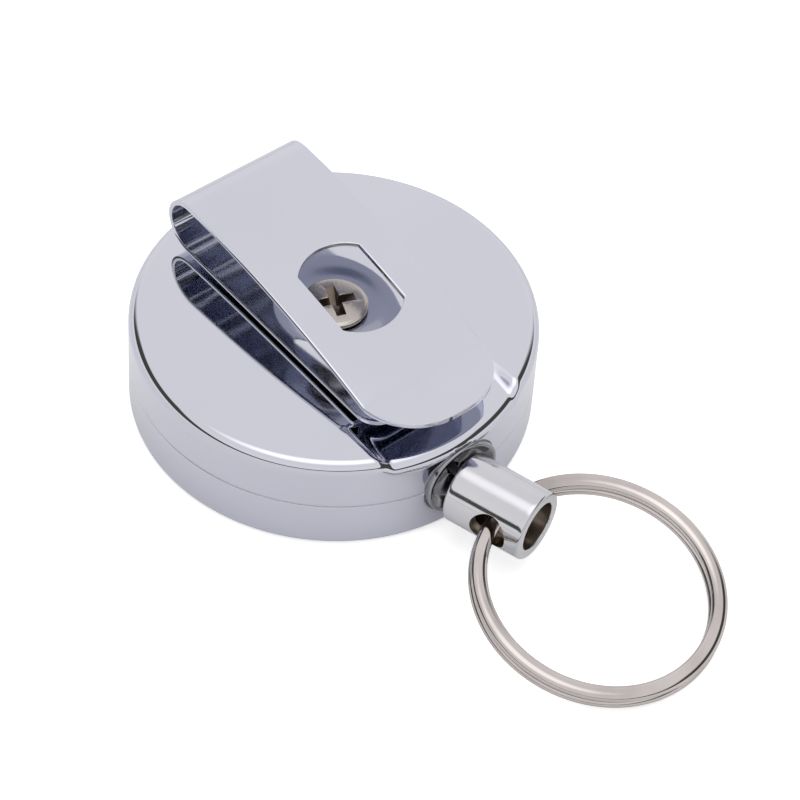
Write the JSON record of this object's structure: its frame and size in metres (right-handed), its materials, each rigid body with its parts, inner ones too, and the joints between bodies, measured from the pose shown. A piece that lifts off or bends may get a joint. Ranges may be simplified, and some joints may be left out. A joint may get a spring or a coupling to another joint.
{
  "type": "retractable badge reel",
  "caption": "Round metal retractable badge reel with a folded belt clip, a spring-wound cord, a swivelling end tube and a split key ring.",
  "frame": {"origin": "centre of the case's flat front face, on which the reel lies", "axes": "+Z out of the clip side of the case, +X along the cord's exit towards the end tube, +Y across the clip"},
  "size_m": [0.0692, 0.04, 0.0183],
  "materials": {
    "chrome_case": "polished chrome plate",
    "chrome_clip": "polished chrome plate on spring steel",
    "chrome_tube": "polished chrome plate, turned",
    "nickel_ring": "bright nickel plate on hardened wire",
    "nickel_screw": "nickel plate",
    "eyelet_steel": "bright rolled steel",
    "post_steel": "turned steel",
    "spring_steel": "blued spring strip",
    "spool_plastic": "moulded natural acetal",
    "cord_nylon": "braided nylon",
    "stop_brass": "crimped brass"
  },
  "bodies": {
    "root": {"back_shell": "chrome_case", "front_shell": "chrome_case", "center_post": "post_steel", "thrust_washer": "spool_plastic", "spacer_bush": "spool_plastic", "exit_eyelet": "eyelet_steel", "cord_lead": "cord_nylon", "mainspring": "spring_steel", "clip_base": "chrome_clip", "lock_washer": "nickel_screw", "clip_screw": "nickel_screw"},
    "spool_body": {"spool": "spool_plastic", "spool_cover": "spool_plastic", "cord_anchor": "stop_brass", "cord_winding": "cord_nylon"},
    "cord_run": {"cord_end": "cord_nylon"},
    "stop_body": {"cord_stop": "stop_brass"},
    "nozzle_body": {"nozzle": "chrome_tube"},
    "ring_body": {"split_ring": "nickel_ring"},
    "clip_arm_body": {"clip_arm": "chrome_clip"}
  },
  "joints": [
    {"name": "cord_pull", "type": "slide", "parent": "root", "child": "cord_run", "axis": [1, 0, 0], "range_m": [0, 0.6], "stiffness_N_per_m": 2.5, "springref_m": -0.4},
    {"name": "spool_spin", "type": "hinge", "parent": "root", "child": "spool_body", "pos_m": [0, 0, 0], "axis": [0, 0, -1], "range_deg": [0, 2947], "deforming": ["mainspring"]},
    {"name": "nozzle_tilt", "type": "hinge", "parent": "cord_run", "child": "stop_body", "pos_m": [0.0232, 0, 0.00565], "axis": [0, 0, 1], "range_deg": [-34, 0]},
    {"name": "nozzle_swivel", "type": "hinge", "parent": "stop_body", "child": "nozzle_body", "pos_m": [0.0232, 0, 0.00565], "axis": [0.9563, 0.2924, 0], "continuous": true},
    {"name": "ring_swing", "type": "hinge", "parent": "nozzle_body", "child": "ring_body", "pos_m": [0.02578, 0.00079, 0.00565], "axis": [0.1908, -0.9816, 0], "range_deg": [-100, 125]},
    {"name": "clip_flex", "type": "hinge", "parent": "root", "child": "clip_arm_body", "pos_m": [-0.01586, 0, 0.01282], "axis": [0, -1, 0], "range_deg": [0, 10], "stiffness_Nm_per_rad": 1.5}
  ],
  "couplings": [
    {"joint": "spool_spin", "follows": "cord_pull", "rad_per_m": 85.653}
  ]
}
